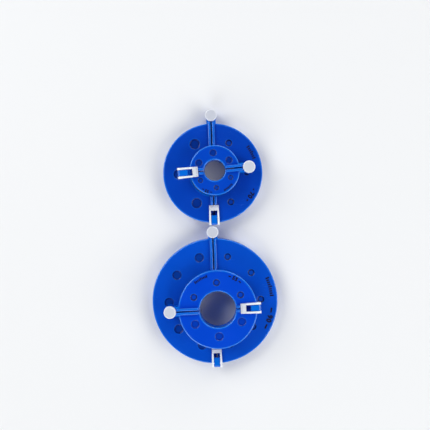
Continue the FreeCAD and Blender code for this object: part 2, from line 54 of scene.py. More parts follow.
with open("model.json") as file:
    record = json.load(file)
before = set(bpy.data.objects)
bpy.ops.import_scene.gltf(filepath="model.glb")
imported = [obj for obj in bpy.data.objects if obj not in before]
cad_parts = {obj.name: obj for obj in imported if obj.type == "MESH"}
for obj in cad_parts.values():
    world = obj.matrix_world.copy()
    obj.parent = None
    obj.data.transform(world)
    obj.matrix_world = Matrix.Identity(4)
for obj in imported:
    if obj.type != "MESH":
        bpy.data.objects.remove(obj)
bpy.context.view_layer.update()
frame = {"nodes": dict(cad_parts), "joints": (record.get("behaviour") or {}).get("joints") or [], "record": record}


class Side(Enum):
    """The two halves of a maker: the one with printed marks and the plain one."""

    MARKED = "marked"
    PLAIN = "plain"


class WhitePiece(Enum):
    """The two shapes of white piece, which get their painted highlight in different places."""

    HEAD = "head"
    LATCH = "latch"


class MarkKind(Enum):
    """What is printed at one of the two places near the rim of a marked half."""

    SCALE = "scale"
    NUMBER = "number"


# Shader node helpers


def rgba(colour: Colour) -> tuple[float, float, float, float]:
    """A colour with full alpha."""
    return (*colour, 1.0)


class Graph:
    """A node tree with short ways to add nodes and join them."""

    def __init__(self, tree: bpy.types.NodeTree) -> None:
        """Keep the tree that nodes are added to.

        Args:
            tree: a material's or a group's node tree.
        """
        self.tree = tree

    def node(self, kind: str, **settings: object) -> bpy.types.Node:
        """Add a node.

        Args:
            kind: the node's type name without its ShaderNode prefix.
            settings: attributes to set on the node.

        Returns:
            The new node.
        """
        made = self.tree.nodes.new(f"ShaderNode{kind}")
        for name, setting in settings.items():
            setattr(made, name, setting)
        return made

    def join(self, source: object, target: bpy.types.NodeSocket) -> None:
        """Link a socket to an input, or set the input where the source is a plain value.

        Args:
            source: an output socket or a plain value.
            target: the input.
        """
        if isinstance(source, bpy.types.NodeSocket):
            self.tree.links.new(source, target)
        else:
            target.default_value = source

    def math(self, operation: str, *inputs: object, clamp: bool = False) -> bpy.types.NodeSocket:
        """Add a Math node.

        Args:
            operation: the node's operation.
            inputs: sockets or numbers for its inputs, in order.
            clamp: whether its result is kept between 0 and 1.

        Returns:
            Its result.
        """
        made = self.node("Math", operation=operation, use_clamp=clamp)
        for source, target in zip(inputs, made.inputs):
            self.join(source, target)
        return made.outputs[0]

    def split(self, vector: bpy.types.NodeSocket) -> tuple[bpy.types.NodeSocket, ...]:
        """Split a vector into its x, y and z.

        Args:
            vector: the vector.

        Returns:
            Its three parts.
        """
        parts = self.node("SeparateXYZ")
        self.join(vector, parts.inputs[0])
        return tuple(parts.outputs)

    def fade(self, value: object, start: object, end: object) -> bpy.types.NodeSocket:
        """Turn a value into a mask that goes smoothly from 0 at start to 1 at end.

        Args:
            value: a socket or a number.
            start: where the mask is 0.
            end: where the mask is 1.

        Returns:
            The mask.
        """
        made = self.node("MapRange", interpolation_type="SMOOTHSTEP")
        for name, source in (("Value", value), ("From Min", start), ("From Max", end)):
            self.join(source, made.inputs[name])
        return made.outputs["Result"]

    def mix(self, factor: object, first: object, second: object) -> bpy.types.NodeSocket:
        """Mix two colours by a factor.

        Args:
            factor: a socket or a number, 0 for the first colour and 1 for the second.
            first: a socket or a colour with alpha.
            second: a socket or a colour with alpha.

        Returns:
            The mixed colour.
        """
        made = self.node("Mix", data_type="RGBA")
        for name, source in (("Factor_Float", factor), ("A_Color", first), ("B_Color", second)):
            self.join(source, next(item for item in made.inputs if item.identifier == name))
        return next(item for item in made.outputs if item.identifier == "Result_Color")

    def tint(self, colour: bpy.types.NodeSocket, mask: object, share: float,
             towards: Colour) -> bpy.types.NodeSocket:
        """Take a colour towards another one by a share of a mask.

        Args:
            colour: the colour so far.
            mask: where the tint shows.
            share: how strong it is where the mask is 1.
            towards: the colour of the tint.

        Returns:
            The tinted colour.
        """
        factor = mask if share == 1.0 else self.math("MULTIPLY", mask, share)
        return self.mix(factor, colour, rgba(towards))

    def noise(self, vector: object, scale: object, detail: float = 2.0) -> bpy.types.NodeSocket:
        """A noise texture on a vector.

        Args:
            vector: the vector.
            scale: the noise's scale, in waves a metre.
            detail: how many finer octaves it has.

        Returns:
            Its value.
        """
        made = self.node("TexNoise")
        made.inputs["Detail"].default_value = detail
        self.join(vector, made.inputs["Vector"])
        self.join(scale, made.inputs["Scale"])
        return made.outputs["Fac"]


class Group(Graph):
    """A shader node group with named inputs and outputs, built once."""

    def __init__(self, name: str, inputs: dict[str, float | None], outputs: list[str]) -> None:
        """Make the group's tree and its sockets.

        Args:
            name: the group's name.
            inputs: each input's default; None makes it a vector input.
            outputs: names of the outputs, all single values.
        """
        super().__init__(bpy.data.node_groups.new(name, "ShaderNodeTree"))
        for label, default in inputs.items():
            kind = "NodeSocketVector" if default is None else "NodeSocketFloat"
            socket = self.tree.interface.new_socket(name=label, in_out="INPUT", socket_type=kind)
            if default is not None:
                socket.default_value = default
        for label in outputs:
            self.tree.interface.new_socket(name=label, in_out="OUTPUT", socket_type="NodeSocketFloat")
        self.given = self.tree.nodes.new("NodeGroupInput").outputs
        self.result = self.tree.nodes.new("NodeGroupOutput").inputs

    def place(self, graph: Graph, **values: object) -> dict[str, bpy.types.NodeSocket]:
        """Place the group in a material.

        Args:
            graph: the material's graph.
            values: sockets or numbers for the inputs, named with _ for a space.

        Returns:
            The outputs by name.
        """
        made = graph.node("Group")
        made.node_tree = self.tree
        for name, source in values.items():
            graph.join(source, made.inputs[name.replace("_", " ")])
        return {socket.name: socket for socket in made.outputs}


@dataclass
class Effects:
    """The node groups that the plastics and the ink share."""

    skin: Group = field(init=False)
    bands: Group = field(init=False)
    levels: Group = field(init=False)
    legs: Group = field(init=False)
    dimples: Group = field(init=False)
    wear: Group = field(init=False)

    def __post_init__(self) -> None:
        """Build every group once."""
        self.skin = self.moulded_skin()
        self.bands = self.ring_bands()
        self.levels = self.level_steps()
        self.legs = self.latch_legs()
        self.dimples = self.dimple_row()
        self.wear = self.handling_wear()

    @staticmethod
    def moulded_skin() -> Group:
        """The faint ripple of a moulded surface and the polish that varies with it.

        Height is fine noise over broad noise; Roughness is the polish plus a share of the
        broad noise; Tone is the broad noise alone, for slow changes of colour.

        Returns:
            The group.
        """
        tone_from, tone_to, broad_height = 0.3, 0.7, 2.0
        group = Group("moulded_skin", {"Vector": None, "Ripple Size": 2.5, "Broad Size": 22.0,
                                       "Polish": 0.3, "Polish Spread": 0.1},
                      ["Height", "Roughness", "Tone"])
        vector = group.given["Vector"]
        fine = group.noise(vector, group.math("DIVIDE", 1 / MM, group.given["Ripple Size"]))
        broad = group.noise(vector, group.math("DIVIDE", 1 / MM, group.given["Broad Size"]), detail=3.0)
        tone = group.fade(broad, tone_from, tone_to)
        height = group.math("ADD", fine, group.math("MULTIPLY", broad, broad_height))
        group.join(height, group.result["Height"])
        spread = group.math("MULTIPLY", group.math("SUBTRACT", tone, 0.5), group.given["Polish Spread"])
        group.join(group.math("ADD", group.given["Polish"], spread, clamp=True), group.result["Roughness"])
        group.join(tone, group.result["Tone"])
        return group

    @staticmethod
    def ring_bands() -> Group:
        """Masks that follow a ring: 1 at its rim or its hole, falling to 0 within a width.

        With r the distance from the ring's axis, Rim fades in from rim - width to rim, and
        Hole fades out from hole to hole + width.

        Returns:
            The group.
        """
        group = Group("ring_bands", {"Vector": None, "Rim": 0.045, "Hole": 0.02, "Width": 0.001},
                      ["Rim", "Hole"])
        x, y, _ = group.split(group.given["Vector"])
        squared = group.math("ADD", group.math("MULTIPLY", x, x), group.math("MULTIPLY", y, y))
        radius = group.math("SQRT", squared)
        rim, hole, width = (group.given[name] for name in ("Rim", "Hole", "Width"))
        group.join(group.fade(radius, group.math("SUBTRACT", rim, width), rim), group.result["Rim"])
        group.join(group.math("SUBTRACT", 1.0, group.fade(radius, hole, group.math("ADD", hole, width))),
                   group.result["Hole"])
        return group

    @staticmethod
    def level_steps() -> Group:
        """Masks that follow the height: what stands above a level and what lies well below it.

        With z the height, Raised fades in from a quarter of a width to a width above the
        level, and Deep fades in from one reach to two reaches below it.

        Returns:
            The group.
        """
        group = Group("level_steps", {"Vector": None, "Level": 0.0118, "Width": 0.0006, "Reach": 0.002},
                      ["Raised", "Deep"])
        _, _, height = group.split(group.given["Vector"])
        level, width, reach = (group.given[name] for name in ("Level", "Width", "Reach"))
        above = group.math("SUBTRACT", height, level)
        group.join(group.fade(above, group.math("MULTIPLY", width, 0.25), width), group.result["Raised"])
        group.join(group.fade(above, group.math("MULTIPLY", reach, -1.0), group.math("MULTIPLY", reach, -2.0)),
                   group.result["Deep"])
        return group

    @staticmethod
    def latch_legs() -> Group:
        """A mask for the two legs of a latch that lies along -Y.

        Legs fades in where |x| passes the half width of the window, times where the distance
        along -Y passes the outer side of the bar, the one that faces the hinge.

        Returns:
            The group.
        """
        inside, outside, blur = -0.3 * MM, 0.2 * MM, 1.2 * MM
        group = Group("latch_legs", {"Vector": None, "Window": 0.0023, "Bar": 0.037}, ["Legs"])
        x, y, _ = group.split(group.given["Vector"])
        across = group.math("SUBTRACT", group.math("ABSOLUTE", x), group.given["Window"])
        along = group.math("SUBTRACT", group.math("MULTIPLY", y, -1.0), group.given["Bar"])
        legs = group.math("MULTIPLY", group.fade(across, inside, outside), group.fade(along, -blur, blur))
        group.join(legs, group.result["Legs"])
        return group

    @staticmethod
    def dimple_row() -> Group:
        """Masks for round dimples set evenly round a circle, in half rings of 180 degrees.

        The angle about the axis, from -Y, is folded into one step of 180 degrees over the
        count, so that 0 is the nearest dimple's middle. The distance from that middle is
        sqrt(r^2 + c^2 - 2 r c cos(angle)). Floor is 1 well inside a dimple, Wall is 1 on a
        ring just inside its edge, and Lip is 1 on a hairline just outside it. Floor and Wall
        place the painted shade of a dimple, and Lip the painted highlight on its edge. Each
        mask's slopes are pairs of shares of the dimple's radius, from where it is 0 to where it is 1.

        Returns:
            The group.
        """
        floor_slope = (0.76, 0.46)
        wall_slopes = ((0.44, 0.76), (1.06, 0.94))
        lip_slopes = ((1.0, 1.08), (1.25, 1.12))
        group = Group("dimple_row", {"Vector": None, "Circle": 0.033, "Count": 5.0, "Radius": 0.003},
                      ["Floor", "Wall", "Lip"])
        x, y, _ = group.split(group.given["Vector"])
        angle = group.math("ARCTAN2", group.math("ABSOLUTE", x), group.math("MULTIPLY", y, -1.0))
        step = group.math("DIVIDE", math.pi, group.given["Count"])
        folded = group.math("SUBTRACT", group.math("MODULO", angle, step), group.math("MULTIPLY", step, 0.5))
        squared = group.math("ADD", group.math("MULTIPLY", x, x), group.math("MULTIPLY", y, y))
        radius, circle = group.math("SQRT", squared), group.given["Circle"]
        product = group.math("MULTIPLY", group.math("MULTIPLY", radius, circle),
                             group.math("MULTIPLY", group.math("COSINE", folded), 2.0))
        total = group.math("ADD", squared, group.math("MULTIPLY", circle, circle))
        distance = group.math("SQRT", group.math("MAXIMUM", group.math("SUBTRACT", total, product), 0.0))
        share = group.math("DIVIDE", distance, group.given["Radius"])
        group.join(group.fade(share, *floor_slope), group.result["Floor"])
        for name, (inner, outer) in {"Wall": wall_slopes, "Lip": lip_slopes}.items():
            group.join(group.math("MULTIPLY", group.fade(share, *inner), group.fade(share, *outer)),
                       group.result[name])
        return group

    @staticmethod
    def handling_wear() -> Group:
        """Hairline scuffs from use.

        Scuffs are the narrow creases where a stretched, turned noise crosses its middle,
        kept to patches where a broad noise is high.

        Returns:
            The group.
        """
        turn, stretch = (0.0, 0.0, 0.7), (1.0, 9.0, 3.0)
        crease_half, patch_size, patch_from, patch_to = 0.012, 17.0 * MM, 0.52, 0.68
        group = Group("handling_wear", {"Vector": None, "Scuff Length": 14.0, "Amount": 0.5}, ["Scuffs"])
        stretched = group.node("Mapping")
        group.join(group.given["Vector"], stretched.inputs["Vector"])
        stretched.inputs["Rotation"].default_value = turn
        stretched.inputs["Scale"].default_value = stretch
        lines = group.noise(stretched.outputs["Vector"],
                            group.math("DIVIDE", 1 / MM, group.given["Scuff Length"]), detail=4.0)
        crease = group.fade(group.math("ABSOLUTE", group.math("SUBTRACT", lines, 0.5)), crease_half, 0.0)
        patch = group.fade(group.noise(group.given["Vector"], 1 / patch_size), patch_from, patch_to)
        group.join(group.math("MULTIPLY", group.math("MULTIPLY", crease, patch), group.given["Amount"]),
                   group.result["Scuffs"])
        return group


# What the frame says about each maker


@dataclass(frozen=True)
class MakerPlan:
    """Where one maker lies and how large it is, in metres, read from the frame."""

    key: str
    centre: Vector
    pivot: Vector
    turn: float
    rim: float
    hole: float
    face: float
    bar: float

    @classmethod
    def read(cls, key: str, rim: float, hole: float) -> "MakerPlan":
        """Read a maker's place from its nodes, joints and opening.

        Args:
            key: the maker's size in millimetres, as its names carry it.
            rim: the radius of its rim.
            hole: the radius of its hole.

        Returns:
            The plan.
        """
        openings = frame["record"]["physics"]["openings"]
        low, high = next(item["box_m"] for item in openings if item["name"] == f"maker{key}_hole")
        middle = ((low[0] + high[0]) / 2, (low[1] + high[1]) / 2)
        hinge = next(item for item in frame["joints"] if item["name"] == f"maker{key}_latch_lift")
        head_low, head_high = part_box(f"maker{key}_pivot_pin")
        back_low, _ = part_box(f"maker{key}_back_arch_plain")
        return cls(key=key, centre=Vector((*middle, 0.0)),
                   pivot=Vector(((head_low.x + head_high.x) / 2, (head_low.y + head_high.y) / 2, 0.0)),
                   turn=math.atan2(hinge["axis"][1], hinge["axis"][0]), rim=rim, hole=hole,
                   face=back_low.z + FACE_HEIGHT, bar=math.dist(hinge["pos_m"][:2], middle) - LATCH_REACH)

    def mapped(self, graph: Graph, about_pivot: bool = False) -> bpy.types.NodeSocket:
        """Make object coordinates centred on this maker's axis, or its pivot, and turned with it.

        Args:
            graph: the material's graph.
            about_pivot: whether they are centred on the pivot.

        Returns:
            The coordinates.
        """
        mapping = graph.node("Mapping", vector_type="TEXTURE")
        mapping.inputs["Location"].default_value = self.pivot if about_pivot else self.centre
        mapping.inputs["Rotation"].default_value = (0.0, 0.0, self.turn)
        graph.join(graph.node("TexCoord").outputs["Object"], mapping.inputs["Vector"])
        return mapping.outputs["Vector"]


# Finishes


@dataclass(frozen=True)
class BluePlastic:
    """Glossy blue of one half of a maker, with painted highlights on edges and ribs and painted shade in dimples.
    """

    face: Colour
    edge: Colour
    rib_highlight: Colour
    dimple_floor_shade: Colour
    dimple_wall_shade: Colour
    dimple_circle: float
    dimple_count: int
    dimple_radius: float
    polish: float = 0.2
    polish_spread: float = 0.08
    gloss: float = 0.3
    clear_coat: float = 0.6
    clear_coat_roughness: float = 0.08
    edge_width: float = 1.5 * MM
    rib_step: float = 1.2 * MM
    slow_change: float = 0.95
    # Share of the painted highlight on the lip just outside each dimple.
    lip_highlight_tint: float = 0.22
    deep_tint: float = 0.6
    scuff_tint: float = 0.12

    def build(self, name: str, plan: MakerPlan, effects: Effects) -> bpy.types.Material:
        """Make the material.

        Args:
            name: the material's name.
            plan: the maker it is for.
            effects: the shared node groups.

        Returns:
            The material.
        """
        material, graph, shader = new_material(name)
        vector = plan.mapped(graph)
        skin = effects.skin.place(graph, Vector=vector, Polish=self.polish, Polish_Spread=self.polish_spread)
        bands = effects.bands.place(graph, Vector=vector, Rim=plan.rim, Hole=plan.hole, Width=self.edge_width)
        levels = effects.levels.place(graph, Vector=vector, Level=plan.face, Width=self.rib_step)
        dimples = effects.dimples.place(graph, Vector=vector, Circle=self.dimple_circle,
                                        Count=float(self.dimple_count), Radius=self.dimple_radius)
        wear = effects.wear.place(graph, Vector=vector)
        # Painted highlight: rims and hole edges are tinted lighter where their fillets catch light, and where
        # light comes through the thin plastic.
        edges = graph.math("MAXIMUM", bands["Rim"], bands["Hole"])
        darker = tuple(self.slow_change * part for part in self.face)
        colour = graph.mix(skin["Tone"], rgba(darker), rgba(self.face))
        # Painted highlight on the lip just outside each dimple.
        for mask, share, towards in ((dimples["Lip"], self.lip_highlight_tint, self.edge),
                                     # Painted shade in the dimples: a dark ring on their walls and darker floors.
                                     (dimples["Wall"], 1.0, self.dimple_wall_shade),
                                     (dimples["Floor"], 1.0, self.dimple_floor_shade),
                                     # Painted highlight on the rims and hole edges.
                                     (edges, 1.0, self.edge),
                                     # Painted highlight on the tops of the raised ribs and the latch tongue.
                                     (levels["Raised"], 1.0, self.rib_highlight),
                                     (levels["Deep"], self.deep_tint, self.face),
                                     (wear["Scuffs"], self.scuff_tint, self.edge)):
            colour = graph.tint(colour, mask, share, towards)
        dress_moulded(graph, shader, colour, skin, wear)
        shader.inputs["Specular IOR Level"].default_value = self.gloss
        shader.inputs["Coat Weight"].default_value = self.clear_coat
        shader.inputs["Coat Roughness"].default_value = self.clear_coat_roughness
        return material


@dataclass(frozen=True)
class WhitePlastic:
    """Glossy white of the pins, caps and latches, with a painted highlight round each head's rim and along each
    latch's legs.
    """

    body: Colour
    shade: Colour
    # Colour of the painted highlight on head rims and latch legs.
    highlight_and_thin_ink: Colour
    polish: float = 0.28
    polish_spread: float = 0.12
    ripple_size: float = 1.6
    broad_size: float = 9.0
    rim_width: float = 1.2 * MM
    scuff_length: float = 8.0
    scuff_amount: float = 0.6
    scuff_tint: float = 0.35

    def build(self, name: str, plan: MakerPlan, effects: Effects, kind: WhitePiece) -> bpy.types.Material:
        """Make the material.

        Args:
            name: the material's name.
            plan: the maker it is for.
            effects: the shared node groups.
            kind: the piece that wears it.

        Returns:
            The material.
        """
        material, graph, shader = new_material(name)
        vector = plan.mapped(graph, about_pivot=kind is WhitePiece.HEAD)
        skin = effects.skin.place(graph, Vector=vector, Ripple_Size=self.ripple_size,
                                  Broad_Size=self.broad_size, Polish=self.polish,
                                  Polish_Spread=self.polish_spread)
        wear = effects.wear.place(graph, Vector=vector, Scuff_Length=self.scuff_length,
                                  Amount=self.scuff_amount)
        # Painted highlight: a lighter band round the rim of a head, and lighter legs on a latch.
        if kind is WhitePiece.HEAD:
            highlight_and_thin_ink = effects.bands.place(graph, Vector=vector, Rim=HEAD_RADIUS, Hole=0.0,
                                       Width=self.rim_width)["Rim"]
        else:
            highlight_and_thin_ink = effects.legs.place(graph, Vector=vector, Window=LATCH_WINDOW, Bar=plan.bar)["Legs"]
        colour = graph.mix(skin["Tone"], rgba(self.shade), rgba(self.body))
        colour = graph.tint(colour, wear["Scuffs"], self.scuff_tint, self.shade)
        dress_moulded(graph, shader, graph.tint(colour, highlight_and_thin_ink, 1.0, self.highlight_and_thin_ink), skin, wear)
        return material


@dataclass(frozen=True)
class PrintInk:
    """Dark ink of the pad-printed marks, thin in places."""

    ink: Colour
    # Colour where the ink is thin.
    highlight_and_thin_ink: Colour
    polish: float = 0.5
    polish_spread: float = 0.15
    ripple_size: float = 0.25
    broad_size: float = 1.2
    gloss: float = 0.2
    thin_share: float = 0.5
    ripple: float = 0.08

    def build(self, name: str, plan: MakerPlan, effects: Effects) -> bpy.types.Material:
        """Make the material.

        Args:
            name: the material's name.
            plan: the maker it is for.
            effects: the shared node groups.

        Returns:
            The material.
        """
        material, graph, shader = new_material(name)
        vector = plan.mapped(graph)
        skin = effects.skin.place(graph, Vector=vector, Ripple_Size=self.ripple_size,
                                  Broad_Size=self.broad_size, Polish=self.polish,
                                  Polish_Spread=self.polish_spread)
        shader.inputs["Specular IOR Level"].default_value = self.gloss
        share = graph.math("MULTIPLY", skin["Tone"], self.thin_share)
        graph.join(graph.mix(share, rgba(self.ink), rgba(self.highlight_and_thin_ink)), shader.inputs["Base Color"])
        graph.join(skin["Roughness"], shader.inputs["Roughness"])
        add_bump(graph, shader, skin["Height"], strength=self.ripple)
        return material


def new_material(name: str) -> tuple[bpy.types.Material, Graph, bpy.types.Node]:
    """Make an empty node material.

    Args:
        name: the material's name.

    Returns:
        The material, its graph and its Principled shader, already joined to the output.
    """
    material = bpy.data.materials.new(name)
    material.use_nodes = True
    material.node_tree.nodes.clear()
    graph = Graph(material.node_tree)
    shader = graph.node("BsdfPrincipled")
    graph.join(shader.outputs["BSDF"], graph.node("OutputMaterial").inputs["Surface"])
    return material, graph, shader


def dress_moulded(graph: Graph, shader: bpy.types.Node, colour: bpy.types.NodeSocket,
                  skin: dict[str, bpy.types.NodeSocket], wear: dict[str, bpy.types.NodeSocket]) -> None:
    """Give a shader its colour, and the polish, scuffs and ripple of moulded plastic.

    Args:
        graph: the material's graph.
        shader: its Principled shader.
        colour: the colour.
        skin: what the moulded_skin group puts out.
        wear: what the handling_wear group puts out.
    """
    graph.join(colour, shader.inputs["Base Color"])
    dulled = graph.math("MULTIPLY", wear["Scuffs"], SCUFF_ROUGHNESS)
    graph.join(graph.math("ADD", skin["Roughness"], dulled), shader.inputs["Roughness"])
    add_bump(graph, shader, skin["Height"], strength=MOULD_RIPPLE)


def add_bump(graph: Graph, shader: bpy.types.Node, height: bpy.types.NodeSocket, strength: float) -> None:
    """Drive a shader's normal from a height.

    Args:
        graph: the material's graph.
        shader: its Principled shader.
        height: the height, in tenths of a millimetre.
        strength: the bump's strength.
    """
    bump = graph.node("Bump")
    bump.inputs["Strength"].default_value = strength
    bump.inputs["Distance"].default_value = 0.1 * MM
    graph.join(height, bump.inputs["Height"])
    graph.join(bump.outputs["Normal"], shader.inputs["Normal"])


# The printed marks


@dataclass
class PrintedMarks:
    """A row of scale ticks and a size number, bent along the rim of a marked half."""

    plan: MakerPlan
    radius: float
    scale_angle: float
    scale_length: float
    number_angle: float
    number_length: float
    cap_height: float
    ink_proud: float = 0.03 * MM
    ink_sunk: float = 0.02 * MM
    tick_width: float = 0.34
    tick_pitch: float = 0.50
    short_tick: float = 0.78
    corner_steps: int = 6
    digit_size: float = 1.08
    font_cap: float = 0.66
    digit_spacing: float = 1.12
    digit_weight: float = 0.085
    digit_steps: int = 4
    bar_gap: float = 0.5
    bar_height: float = 0.38
    weld: float = 1e-7

    def bend(self, points: np.ndarray, angle: float) -> np.ndarray:
        """Lay flat points along the rim, tops outwards.

        x runs along the line of print, y up the letters and z out of the face. A point goes to
        the angle of the line's middle less x over the radius, at a distance of radius + y.

        Args:
            points: an array of (x, y, z) rows about the middle of the line of print.
            angle: where that middle stands, from the maker's own +X, in radians.

        Returns:
            The points in the row frame.
        """
        x, y, z = points.T
        around = self.plan.turn + angle - x / self.radius
        out = self.radius + y
        return np.stack([self.plan.centre.x + out * np.cos(around),
                         self.plan.centre.y + out * np.sin(around), self.plan.face + z], axis=1)

    def bars(self, centres: np.ndarray, widths: np.ndarray, heights: np.ndarray) -> MeshParts:
        """Upright bars with rounded ends, each a thin solid.

        A bar's outline is a half circle of its lesser half size at each end, carried from the
        sunk level to the proud one.

        Args:
            centres: the bars' middles, as (x, y) rows.
            widths: their widths along the line of print.
            heights: their heights.

        Returns:
            Vertices and faces.
        """
        steps = np.linspace(0.0, math.pi, self.corner_steps)
        ring = np.concatenate([steps, steps + math.pi])
        small = np.minimum(widths, heights)[:, None] / 2
        upright = (heights > widths)[:, None]
        reach = np.abs(heights - widths)[:, None] / 2
        ends = np.where(ring < math.pi, 1.0, -1.0)
        ends[self.corner_steps - 1], ends[-1] = 1.0, -1.0
        along = reach * ends + small * np.sin(ring)
        across = small * np.cos(ring)
        x = np.where(upright, across, -along) + centres[:, :1]
        y = np.where(upright, along, across) + centres[:, 1:]
        count, size = x.shape
        levels = np.array([-self.ink_sunk, self.ink_proud])
        vertices = np.stack([np.broadcast_to(x[:, None], (count, 2, size)),
                             np.broadcast_to(y[:, None], (count, 2, size)),
                             np.broadcast_to(levels[None, :, None], (count, 2, size))], axis=-1)
        index = np.arange(count * 2 * size).reshape(count, 2, size)
        after = np.roll(index, -1, axis=2)
        sides = np.stack([index[:, 0], after[:, 0], after[:, 1], index[:, 1]], axis=-1).reshape(-1, 4)
        faces = [tuple(row) for row in sides.tolist()]
        faces += [tuple(row) for row in index[:, 1].tolist()]
        faces += [tuple(row[::-1]) for row in index[:, 0].tolist()]
        return vertices.reshape(-1, 3), faces

    def scale(self) -> MeshParts:
        """Make the row of ticks: evenly pitched, the middle and end ones tall.

        Returns:
            Vertices and faces.
        """
        half = int(self.scale_length / (self.tick_pitch * self.cap_height) / 2)
        places = np.arange(-half, half + 1)
        tall = (places == 0) | (np.abs(places) == half)
        heights = np.where(tall, 1.0, self.short_tick) * self.cap_height
        pitch = self.scale_length / (2 * half + 1)
        centres = np.stack([places * pitch, (heights - self.cap_height) / 2], axis=1)
        widths = np.full(len(places), self.tick_width * self.cap_height)
        vertices, faces = self.bars(centres, widths, heights)
        return self.bend(vertices, self.scale_angle), faces

    def number(self) -> MeshParts:
        """Make the size in plain digits between two short bars.

        Returns:
            Vertices and faces.
        """
        curve = bpy.data.curves.new("digits", "FONT")
        curve.body = self.plan.key
        curve.size = self.digit_size * self.cap_height / self.font_cap
        curve.align_x, curve.align_y = "CENTER", "CENTER"
        curve.space_character = self.digit_spacing
        curve.offset = self.digit_weight * self.cap_height
        curve.resolution_u = self.digit_steps
        curve.extrude = (self.ink_proud + self.ink_sunk) / 2
        text = bpy.data.objects.new("digits", curve)
        mesh = bpy.data.meshes.new_from_object(text)
        made = bmesh.new()
        made.from_mesh(mesh)
        bmesh.ops.remove_doubles(made, verts=made.verts, dist=self.weld)
        bmesh.ops.recalc_face_normals(made, faces=made.faces)
        digits = np.array([vertex.co for vertex in made.verts])
        faces = [tuple(vertex.index for vertex in face.verts) for face in made.faces]
        made.free()
        bpy.data.objects.remove(text)
        bpy.data.meshes.remove(mesh)
        bpy.data.curves.remove(curve)
        digits[:, 2] += (self.ink_proud - self.ink_sunk) / 2
        reach = np.ptp(digits[:, 0]) / 2 + self.bar_gap * self.cap_height
        bar = self.number_length / 2 - reach
        middles = np.array([[-(reach + bar / 2), 0.0], [reach + bar / 2, 0.0]])
        heights = np.full(2, self.bar_height * self.cap_height)
        bar_vertices, bar_faces = self.bars(middles, np.full(2, bar), heights)
        faces += [tuple(corner + len(digits) for corner in face) for face in bar_faces]
        return self.bend(np.concatenate([digits, bar_vertices]), self.number_angle), faces

    def build(self, ink: bpy.types.Material) -> None:
        """Make both marks and let them ride on the marked half.

        Args:
            ink: their material.
        """
        marks = {MarkKind.SCALE: self.scale(), MarkKind.NUMBER: self.number()}
        for kind, (vertices, faces) in marks.items():
            name = f"maker{self.plan.key}_{kind.value}_print"
            mesh = bpy.data.meshes.new(name)
            mesh.from_pydata(vertices.tolist(), [], faces)
            mesh.validate()
            mesh.materials.append(ink)
            piece = bpy.data.objects.new(name, mesh)
            bpy.context.scene.collection.objects.link(piece)
            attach(piece, f"maker{self.plan.key}_marked_arm")
            LOG.info("%s: %d faces", name, len(mesh.polygons))


# One maker


@dataclass
class Maker:
    """One maker of the set: its finishes and its printed marks."""

    key: str
    rim: float
    hole: float
    face: Colour
    dimple_circle: float
    dimple_count: int
    large_dimple: float
    small_dimple: float
    # Painted shade of the plain half's large dimple floors, as a share of the face.
    large_floor_shade: float
    print_radius: float
    scale_angle: float
    scale_length: float
    number_angle: float
    number_length: float
    cap_height: float

    def halves(self) -> dict[Side, BluePlastic]:
        """Make each half's blue: painted shade in small ringed dimples on the marked one, large on the plain.

        Returns:
            Each half's finish.
        """
        shade = {Side.MARKED: MARKED_DIMPLE_SHADE,
                 Side.PLAIN: (self.large_floor_shade - WALL_SHADE_BELOW_FLOOR, self.large_floor_shade)}
        sizes = {Side.MARKED: self.small_dimple, Side.PLAIN: self.large_dimple}
        return {side: BluePlastic(face=self.face, edge=EDGE_HIGHLIGHT_AND_SCUFF, rib_highlight=RIB_HIGHLIGHT,
                                  dimple_wall_shade=tuple(wall * part for part in self.face),
                                  dimple_floor_shade=tuple(floor * part for part in self.face),
                                  dimple_circle=self.dimple_circle, dimple_count=self.dimple_count,
                                  dimple_radius=sizes[side] / 2)
                for side, (wall, floor) in shade.items()}

    def build(self, effects: Effects, whites: dict[WhitePiece, WhitePlastic], ink: PrintInk) -> None:
        """Dress the maker's nodes and print its marks.

        Args:
            effects: the shared node groups.
            whites: the finishes of its pin and cap, and of its latch.
            ink: the finish of its marks.
        """
        plan = MakerPlan.read(self.key, self.rim, self.hole)
        for side, finish in self.halves().items():
            blue = finish.build(f"blue_{self.key}_{side.value}", plan, effects)
            for layer in ("front", "back"):
                dress(f"maker{self.key}_{layer}_arch_{side.value}", blue)
        pale_parts = {WhitePiece.HEAD: ("pivot_pin", "pivot_cap"), WhitePiece.LATCH: ("latch",)}
        for kind, parts in pale_parts.items():
            pale = whites[kind].build(f"white_{self.key}_{kind.value}", plan, effects, kind)
            for part in parts:
                dress(f"maker{self.key}_{part}", pale)
        PrintedMarks(plan=plan, radius=self.print_radius, scale_angle=math.radians(self.scale_angle),
                     scale_length=self.scale_length, number_angle=math.radians(self.number_angle),
                     number_length=self.number_length, cap_height=self.cap_height,
                     ).build(ink.build(f"ink_{self.key}", plan, effects))


def dress(node: str, material: bpy.types.Material) -> None:
    """Give a CAD node its material.

    Args:
        node: the node's name.
        material: what it wears.
    """
    piece = frame["nodes"][node]
    for place in piece.material_slots:
        place.link = "OBJECT"
        place.material = material
    LOG.info("%s wears %s", node, material.name)


# The studio


@dataclass(frozen=True)
class Softbox:
    """A square lamp that faces the middle of the set: its place and edge in metres, its power in watts."""

    name: str
    place: tuple[float, float, float]
    size: float
    power: float

    def build(self) -> None:
        """Make the lamp."""
        light = bpy.data.lights.new(self.name, "AREA")
        light.size, light.energy = self.size, self.power
        lamp = bpy.data.objects.new(self.name, light)
        place = Vector(self.place)
        lamp.matrix_world = Matrix.Translation(place) @ place.to_track_quat("Z", "Y").to_matrix().to_4x4()
        bpy.context.scene.collection.objects.link(lamp)


